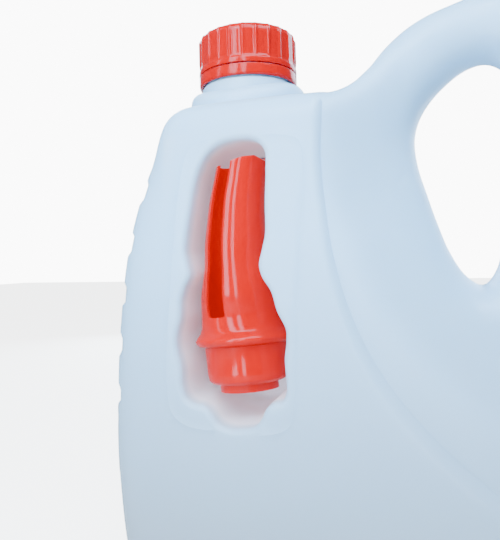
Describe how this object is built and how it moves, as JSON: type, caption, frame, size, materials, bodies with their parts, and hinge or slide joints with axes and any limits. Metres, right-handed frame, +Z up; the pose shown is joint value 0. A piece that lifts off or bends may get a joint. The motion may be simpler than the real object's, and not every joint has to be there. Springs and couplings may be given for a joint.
{
  "type": "detergent dispenser bottle",
  "caption": "Blow-moulded jug with an arched side handle, a ribbed screw cap above its tamper-evident ring, and a slotted pour spout kept in a recess of the front wall.",
  "frame": {"origin": "middle of the base, on the surface that the bottle stands on", "axes": "+X runs from the neck side to the handle side, +Y to the back away from the spout pocket, +Z is up"},
  "size_m": [0.2134, 0.11, 0.3068],
  "materials": {
    "milky_bottle": "translucent milky polyethylene with a fine moulded grain",
    "red_cap": "glossy moulded polypropylene",
    "red_ring": "glossy moulded polypropylene",
    "white_liner": "closed-cell foam with a smooth skin",
    "red_spout": "glossy moulded polypropylene"
  },
  "bodies": {
    "bottle": {"bottle_body": "milky_bottle"},
    "liner": {"cap_liner": "white_liner"},
    "cap": {"screw_cap": "red_cap"},
    "ring": {"tamper_evident_ring": "red_ring"},
    "spout": {"pour_spout": "red_spout"}
  },
  "joints": [
    {"name": "cap_lift", "type": "slide", "parent": "bottle", "child": "liner", "axis": [0, 0, 1], "range_m": [0, 0.00801]},
    {"name": "cap_turn", "type": "hinge", "parent": "liner", "child": "cap", "pos_m": [-0.042, 0, 0.295], "axis": [0, 0, 1], "range_deg": [0, 720]},
    {"name": "ring_turn", "type": "hinge", "parent": "bottle", "child": "ring", "pos_m": [-0.042, 0, 0.282], "axis": [0, 0, 1], "continuous": true},
    {"name": "spout_pull", "type": "slide", "parent": "bottle", "child": "spout", "axis": [0, -1, 0], "range_m": [0, 0.06]}
  ],
  "couplings": [
    {"joint": "cap_lift", "follows": "cap_turn", "m_per_rad": 0.00063662}
  ]
}
